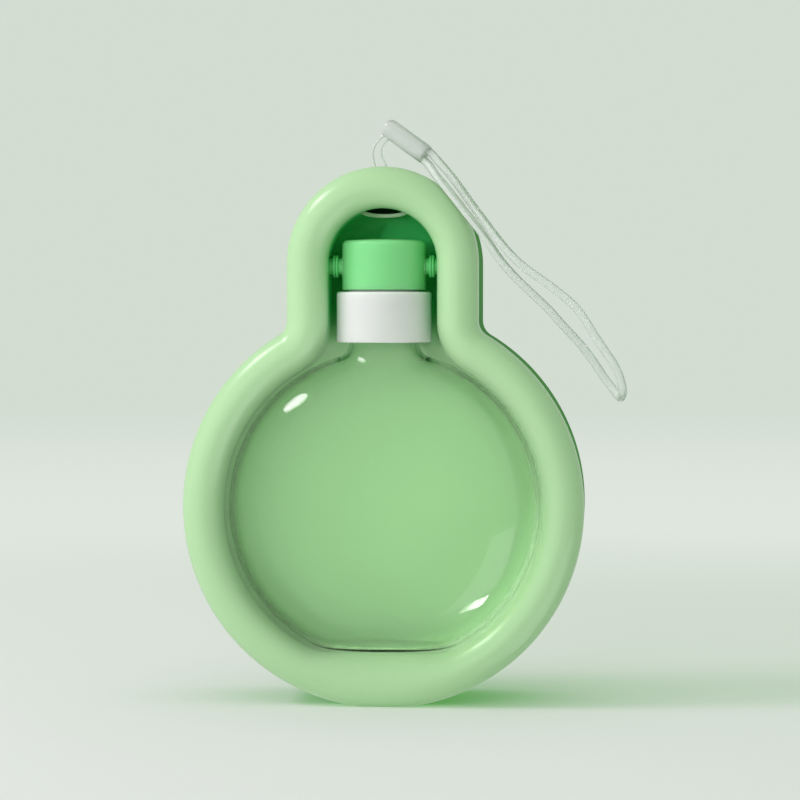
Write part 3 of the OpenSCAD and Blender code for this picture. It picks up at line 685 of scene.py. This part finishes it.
def eyelet_body(key):
    """The eyelet's seat, for cutting it: wide in the hollow of the rim, narrow where it comes out at
    the top."""
    wide, narrow, top = EYELET_R + SEAT_GAP, LOOP_TUBE_R + SEAT_GAP, EYELET_TOP + SEAT_GAP
    bm = turned([(0, -EYELET_BELOW), (wide, -EYELET_BELOW), (wide, top), (narrow, top),
                 (narrow, THROUGH), (0, THROUGH)])
    return behind_crest(to_object(on_eyelet_axis(bm, key), "eyelet_body"), key)


def behind_crest(obj, key):
    """Keeps what lies behind the crest of the rim, so that the arch's edge runs on unbroken."""
    size, step = 80, 0.3
    bm = bmesh.new()
    bmesh.ops.create_cube(bm, size=size)
    bmesh.ops.translate(bm, vec=(0, key.rim_y + size / 2 + step, key.neck_z + key.neck), verts=bm.verts)
    return combine(obj, to_object(bm, "behind_crest"), "INTERSECT")


class BOTTLE_OT_eyelet(bpy.types.Operator):
    """Makes the leaning tube through the top of the neck, with its rounded lip."""
    bl_idname = "bottle.eyelet"
    bl_label = "Eyelet"

    def execute(self, context):
        key = Keyhole(context.scene.bottle_sizes)
        bore, ceiling, top, lip, lip_end = EYELET_BORE_R, EYELET_CEILING, EYELET_TOP, EYELET_LIP_R, 1.3
        outer_edge, inner_edge = 0.4, 0.5
        profile = arc(EYELET_R - lip, lip, lip, 180, 360, 12)
        profile += [(EYELET_R, top - outer_edge), (EYELET_R - outer_edge, top), (LOOP_TUBE_R, top)]
        profile += [(LOOP_TUBE_R, THROUGH), (LOOP_HOLE_R, THROUGH), (LOOP_HOLE_R, ceiling + inner_edge)]
        profile += [(LOOP_HOLE_R + inner_edge, ceiling), (bore - inner_edge, ceiling)]
        profile += [(bore, ceiling - inner_edge), (bore, lip_end)]
        eyelet = to_object(on_eyelet_axis(turned(profile + [profile[0]]), key), "lanyard_eyelet_tube")
        # The tube ends just inside the round of the arch
        trim, front = key.neck - 0.4, -22
        arch = turned([(0, front), (trim, front), (trim, THROUGH), (0, THROUGH)], 128)
        spot = Matrix.Translation((0, 0, key.neck_z)) @ Matrix.Rotation(math.radians(-90), 4, "X")
        bmesh.ops.transform(arch, matrix=spot, verts=arch.verts)
        combine(eyelet, to_object(arch, "arch_trim"), "INTERSECT")
        behind_crest(eyelet, key)
        looks = finishes(context)
        # The tube is painted paler than the bowl, as painted light on its lip
        place(eyelet, "shell", "bowl_green", looks["eyelet_painted_light_green"], "lanyard_eyelet")
        eyelet.data.materials.append(looks["eyelet_painted_shade"])
        # Painted shade: the inside of the tube gets a near-black material, in place of its shade
        back = eyelet_spot(key).inverted()
        for face in eyelet.data.polygons:
            at = back @ (face.center / MM)
            within = math.hypot(at.x, at.y) < bore + 0.1 and lip_end - 0.1 < at.z < ceiling + 0.4
            face.material_index = int(within)
        return {"FINISHED"}


class BOTTLE_OT_bowl(bpy.types.Operator):
    """Makes the bowl with its rounded rim, cove, floor and ledge."""
    bl_idname = "bottle.bowl"
    bl_label = "Bowl"

    def execute(self, context):
        sizes = context.scene.bottle_sizes
        key = Keyhole(sizes)
        wall, cove, edge = sizes.wall / MM, sizes.cove_radius / MM, 0.4
        floor_y = FLASK_Y + sizes.flask_thickness / MM / 2 + FLOOR_GAP
        cove_y, cove_u = floor_y - cove, -key.rim - cove
        profile = [(cove_u - 1, floor_y)] + arc(cove_u, cove_y, cove, 90, 0, 22)
        profile += [(-key.rim, cove_y + (key.rim_y - cove_y) * i / 6) for i in range(1, 6)]
        profile += arc(0, key.rim_y, key.rim, -180, 0, 36)
        profile += arc(key.rim - edge, key.parting - edge, edge, 0, 90, 3)
        profile += [(key.rim - wall, key.parting)] + arc(0, key.rim_y, key.rim - wall, 0, -180, 12)
        profile += arc(cove_u, cove_y, cove + wall, 0, 90, 10) + [(cove_u - 1, floor_y + wall)]
        bm = key.sweep(profile)
        close_openings(bm)
        self.raise_ledge(bm, key, cove, FLASK_BASE - sizes.ledge_gap / MM)
        key.flatten_foot(bm)
        bowl = to_object(bm, "bowl_and_rim")
        combine(bowl, eyelet_body(key), "DIFFERENCE")
        for side in (-1, 1):
            combine(bowl, self.bush_cutter(side), "DIFFERENCE")
        place(bowl, "shell", "bowl_green", finishes(context)["bowl_green_abs"], "bowl_shell")
        return {"FINISHED"}

    def raise_ledge(self, bm, key, cove, ledge_z):
        """Widens the rim inwards at the bottom, up to the flat that the flask's base stands over."""
        inner = key.path_bowl - key.rim
        drop = key.bowl_z - ledge_z
        bend = 0.9
        for v in bm.verts:
            x, z = v.co.x, v.co.z - key.bowl_z
            radius = math.hypot(x, z)
            cosine = -z / radius if radius else 0.0
            u = radius - key.path_bowl
            # Only the inner half of the rim and the cove, up to 60 degrees from straight down
            if cosine < 0.5 or u >= 0 or u < -key.rim - cove:
                continue
            shift = soft_bend(inner - drop / cosine, bend)
            if u > -key.rim:
                u *= (key.rim + shift) / key.rim
            else:
                u -= shift * (1 - (-key.rim - u) / cove)
            scale = (key.path_bowl + u) / radius
            v.co.x, v.co.z = x * scale, key.bowl_z + z * scale

    def bush_cutter(self, side):
        """The hole through the neck's wall that a bush sits in."""
        bm = turned([(0, BUSH_FROM), (BUSH_R, BUSH_FROM), (BUSH_R, THROUGH), (0, THROUGH)], 48)
        return to_object(on_pin_axis(bm, side), "bush_cutter")


class BOTTLE_OT_cover(bpy.types.Operator):
    """Makes the back cover with its rounded rear edge."""
    bl_idname = "bottle.cover"
    bl_label = "Back Cover"

    def execute(self, context):
        sizes = context.scene.bottle_sizes
        key = Keyhole(sizes)
        wall, edge = sizes.wall / MM, sizes.cover_edge / MM
        out_u = key.rim - sizes.cover_inset / MM
        edge_u, edge_y = out_u - edge, BACK_Y - edge
        front_edge, tongue_y = 0.3, key.rim_y - 1.2
        profile = [(edge_u - 1, BACK_Y)] + arc(edge_u, edge_y, edge, 90, 0, 18)
        profile += [(out_u, edge_y + (key.parting - edge_y) * i / 8) for i in range(1, 8)]
        profile += [(out_u, key.parting + front_edge), (out_u - front_edge, key.parting + 0.02)]
        # The tongue that reaches into the hollow of the rim
        profile += [(TONGUE_OUTER_R, key.parting), (TONGUE_OUTER_R, tongue_y), (TONGUE_R, tongue_y)]
        profile += [(TONGUE_R, key.parting + 2), (out_u - wall, key.parting + 4)]
        profile += arc(edge_u, edge_y, edge - wall, 0, 90, 8) + [(edge_u - 1, BACK_Y - wall)]
        bm = key.sweep(profile)
        close_openings(bm)
        key.flatten_foot(bm)
        cover = to_object(bm, "back_cover_shell")
        combine(cover, eyelet_body(key), "DIFFERENCE")
        place(cover, "shell", "cover_green", finishes(context)["cover_green_and_painted_shade"], "back_cover")
        return {"FINISHED"}


class BOTTLE_OT_flask(bpy.types.Operator):
    """Makes the clear flask with its flared neck and flat base."""
    bl_idname = "bottle.flask"
    bl_label = "Flask"

    def execute(self, context):
        sizes = context.scene.bottle_sizes
        wall, radius = sizes.flask_wall / MM, sizes.mouth_radius / MM
        outer = self.lens(sizes, 0.0)
        combine(outer, self.neck(sizes, 0.0, radius, top=MOUTH_Z, flare=3.6), "UNION")
        inner = self.lens(sizes, wall)
        combine(inner, self.neck(sizes, wall, radius - NECK_WALL, top=MOUTH_Z + 4, flare=4.4), "UNION")
        combine(outer, inner, "DIFFERENCE")
        place(outer, "bottle", "clear_plastic", finishes(context)["clear_copolyester"], "flask")
        return {"FINISHED"}

    def lens(self, sizes, inset):
        """A domed round body whose underside is pressed flat."""
        radius = sizes.flask_radius / MM - inset
        half = sizes.flask_thickness / MM / 2 - inset
        edge = sizes.flask_edge / MM - inset
        a = radius - edge
        dome = (a * a + half * half - edge * edge) / (2 * (half - edge))
        turn = math.degrees(math.atan2(a, dome - half))
        front = arc(0, half - dome, dome, 90, 90 - turn, 22)
        front[0] = (0.0, half)
        rounded = arc(a, 0, edge, 90 - turn, turn - 90, 44)
        back = [(r, -y) for r, y in reversed(front)]
        points = front + rounded[1:-1] + back
        bowl_z = (sizes.bowl_radius - sizes.foot_cut) / MM
        bm = bmesh.new()
        geom = wire(bm, [(r, FLASK_Y - y, bowl_z) for r, y in points])
        bmesh.ops.spin(bm, geom=geom, cent=(0, FLASK_Y, bowl_z), axis=(0, 1, 0), angle=2 * math.pi,
                       steps=200, use_merge=True)
        base, bend = FLASK_BASE + inset, 0.45
        for v in bm.verts:
            v.co.z = base + soft_bend(v.co.z - base, bend)
        return to_object(bm, "flask")

    def neck(self, sizes, inset, radius, top, flare):
        """The neck, which flares out to lie on the body all round."""
        bowl_z = (sizes.bowl_radius - sizes.foot_cut) / MM
        edge = sizes.flask_edge / MM - inset
        ring = sizes.flask_radius / MM - sizes.flask_edge / MM
        start_z = 108

        def top_of_body(x, y):
            reach = ring + math.sqrt(max(0.0, edge ** 2 - y ** 2))
            return bowl_z + math.sqrt(max(0.0, reach ** 2 - x ** 2))

        bm = bmesh.new()
        bmesh.ops.create_circle(bm, cap_ends=True, radius=radius - 2, segments=128)
        bmesh.ops.translate(bm, vec=(0, FLASK_Y, start_z), verts=bm.verts)
        edges = bm.edges[:]
        for step in range(-1, FLARE_RINGS + 3):
            made = bmesh.ops.extrude_edge_only(bm, edges=edges)["geom"]
            edges = [g for g in made if isinstance(g, bmesh.types.BMEdge)]
            moved = [g for g in made if isinstance(g, bmesh.types.BMVert)]
            for v in moved:
                turn = math.atan2(v.co.y - FLASK_Y, v.co.x)
                r, z = self.flare_point(top_of_body, radius, flare, turn, step, top)
                v.co = (r * math.cos(turn), FLASK_Y + r * math.sin(turn), z)
        bmesh.ops.contextual_create(bm, geom=edges)
        return to_object(bm, "flask_neck")

    def flare_point(self, body, radius, flare, azimuth, step, top):
        """Radius and height of a step of the flare: it starts just under the body's surface, curves
        up into the neck and ends at the mouth."""
        c, s = math.cos(azimuth), math.sin(azimuth)
        reach, dip, ease, head, mouth_edge = 0.5, 0.25, 0.12, 1.3, 0.4
        foot_r = radius + flare
        foot_z = body(foot_r * c, foot_r * s)
        slope = (foot_z - body((foot_r - reach) * c, (foot_r - reach) * s)) / reach - ease
        corner_z = foot_z - slope * flare
        head_z = corner_z + flare * head
        if step < 0:
            return foot_r + reach, foot_z + slope * reach - dip
        if step <= FLARE_RINGS:
            t = step / FLARE_RINGS
            a, b, d = (1 - t) ** 2, 2 * t * (1 - t), t ** 2
            return a * foot_r + (b + d) * radius, a * foot_z + b * corner_z + d * head_z
        if step == FLARE_RINGS + 1:
            return radius, (head_z + top - mouth_edge) / 2
        return radius - mouth_edge, top


class BOTTLE_OT_closure(bpy.types.Operator):
    """Makes the cap and the collar."""
    bl_idname = "bottle.closure"
    bl_label = "Cap and Collar"

    def execute(self, context):
        sizes = context.scene.bottle_sizes
        looks = finishes(context)
        r, low, high, edge, mouth_edge = sizes.cap_radius / MM, CAP_BASE, CAP_TOP, 1.8, 0.4
        profile = [(CAP_INSIDE_R, low + 0.3), (CAP_INSIDE_R + 0.3, low), (r - 0.3, low), (r, low + 0.3)]
        profile += arc(r - edge, high - 0.5 - edge, edge, 0, 84, 12)
        profile += [(OUTLET_R + mouth_edge, high - 0.02)]
        profile += arc(OUTLET_R + mouth_edge, high - 0.02 - mouth_edge, mouth_edge, 90, 180, 5)
        profile += [(OUTLET_R, high - CAP_CROWN), (CAP_INSIDE_R, high - CAP_CROWN)]
        cap = to_object(turned(profile + [profile[0]], 128, (0, FLASK_Y)), "cap_shell", 30)
        for side in (-1, 1):
            combine(cap, self.boss(sizes, side), "UNION")
        place(cap, "bottle", "cap_green", looks["cap_green_pp"], "cap")

        r, low, high = sizes.collar_radius / MM, COLLAR_BASE, COLLAR_TOP
        low_edge, high_edge, hole_edge, inside = 0.5, 0.9, 0.3, COLLAR_INSIDE_R
        profile = [(inside, low + 0.4), (inside + 0.4, low), (r - low_edge, low)]
        profile += arc(r - low_edge, low + low_edge, low_edge, -60, 0, 4)
        profile += arc(r - high_edge, high - high_edge, high_edge, 0, 90, 8)
        profile += [(COLLAR_HOLE_R + hole_edge, high)]
        profile += arc(COLLAR_HOLE_R + hole_edge, high - hole_edge, hole_edge, 90, 180, 4)
        profile += [(COLLAR_HOLE_R, high - COLLAR_CROWN), (inside, high - COLLAR_CROWN)]
        ring = to_object(turned(profile + [profile[0]], 128, (0, FLASK_Y)), "collar_ring", 30)
        place(ring, "collar", "white_plastic", looks["white_collar_pp"], "collar")
        return {"FINISHED"}

    def boss(self, sizes, side):
        """The low round boss on the cap that a pin grows out of."""
        r, x = sizes.pin_radius / MM + 0.6, sizes.cap_radius / MM
        root, head, edge = x - 3, x + 0.15, 0.1
        bm = turned([(0, root), (r, root), (r, head - edge), (r - edge, head), (0, head)], 48)
        return to_object(on_pin_axis(bm, side), "pin_boss")


class BOTTLE_OT_pins(bpy.types.Operator):
    """Makes the two hinge pins and the washers beside their flanges."""
    bl_idname = "bottle.pins"
    bl_label = "Hinge Pins"

    def execute(self, context):
        sizes = context.scene.bottle_sizes
        look = finishes(context)["pin_green_pom"]
        r, flange_r = sizes.pin_radius / MM, sizes.flange_radius / MM
        edge, slim, root, flange_thick, flange_gap, play = 0.25, 0.4, 5.3, 0.9, 1.0, 0.05
        for side, name in ((-1, "left"), (1, "right")):
            near, far = sorted(abs(v.x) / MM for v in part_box("hinge_pin_" + name))
            washer_near, washer_far = sorted(abs(v.x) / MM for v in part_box("pivot_washer_" + name))
            flange = washer_near - flange_gap
            pin = [(0, near), (r - slim, near), (r - slim, near + root), (r, near + root + 0.05)]
            pin += [(r, flange)] + disc_edge(flange_r, flange, flange + flange_thick, edge)
            pin += [(r, flange + flange_thick), (r, far - slim), (r - slim, far), (0, far)]
            self.along_axis(turned(pin, 64), side, "hinge_pin_piece_" + name, look, "hinge_pin_" + name)
            ring = [(r + play, washer_near)] + disc_edge(flange_r, washer_near, washer_far, edge)
            ring += [(r + play, washer_far), (r + play, washer_near)]
            self.along_axis(turned(ring, 64), side, "pivot_washer_piece_" + name, look,
                            "pivot_washer_" + name)
        return {"FINISHED"}

    def along_axis(self, bm, side, name, look, cad_node):
        """Finishes a pin or washer in its place beside the cap."""
        piece = to_object(on_pin_axis(bm, side), name, 30)
        place(piece, "bottle", "pin_green", look, cad_node)


class BOTTLE_OT_fittings(bpy.types.Operator):
    """Gives the smaller solids that stay as they are their finish."""
    bl_idname = "bottle.fittings"
    bl_label = "Inner Fittings"

    def execute(self, context):
        looks = finishes(context)
        for name, look in {
            "lanyard_bar": "ground_steel",
            "pivot_bush_left": "bowl_green_abs", "pivot_bush_right": "bowl_green_abs",
            "shell_seal": "clear_silicone", "insert_o_ring": "clear_silicone",
            "outlet_valve": "clear_silicone", "valve_ring": "white_collar_pp",
            "valve_insert": "white_collar_pp", "mouth_gasket": "clear_silicone",
        }.items():
            solid = NODES[name]
            solid.data.materials.clear()
            solid.data.materials.append(looks[look])
        return {"FINISHED"}


class BOTTLE_PT_panel(bpy.types.Panel):
    """Lists the pieces of the bottle and its sizes."""
    bl_label = "Water Bottle"
    bl_idname = "BOTTLE_PT_panel"
    bl_space_type = "VIEW_3D"
    bl_region_type = "UI"
    bl_category = "Water Bottle"

    def draw(self, context):
        for operator in OPERATORS:
            self.layout.operator(operator.bl_idname)
        for group in (context.scene.bottle_sizes, context.scene.bottle_colours):
            box = self.layout.box()
            for name in group.__annotations__:
                box.prop(group, name)


OPERATORS = (BOTTLE_OT_stage, BOTTLE_OT_lanyard, BOTTLE_OT_eyelet, BOTTLE_OT_bowl, BOTTLE_OT_cover,
             BOTTLE_OT_flask, BOTTLE_OT_closure, BOTTLE_OT_pins, BOTTLE_OT_fittings)
CLASSES = (BottleSizes, BottleColours) + OPERATORS + (BOTTLE_PT_panel,)


def register():
    for made in CLASSES:
        bpy.utils.register_class(made)
    bpy.types.Scene.bottle_sizes = bpy.props.PointerProperty(type=BottleSizes)
    bpy.types.Scene.bottle_colours = bpy.props.PointerProperty(type=BottleColours)


def unregister():
    del bpy.types.Scene.bottle_colours
    del bpy.types.Scene.bottle_sizes
    for made in reversed(CLASSES):
        bpy.utils.unregister_class(made)


def main():
    """Builds the bottle."""
    register()
    bpy.ops.bottle.stage()
    bpy.ops.bottle.lanyard()
    bpy.ops.bottle.eyelet()
    bpy.ops.bottle.bowl()
    bpy.ops.bottle.cover()
    bpy.ops.bottle.flask()
    bpy.ops.bottle.closure()
    bpy.ops.bottle.pins()
    bpy.ops.bottle.fittings()


if __name__ == "__main__":
    main()
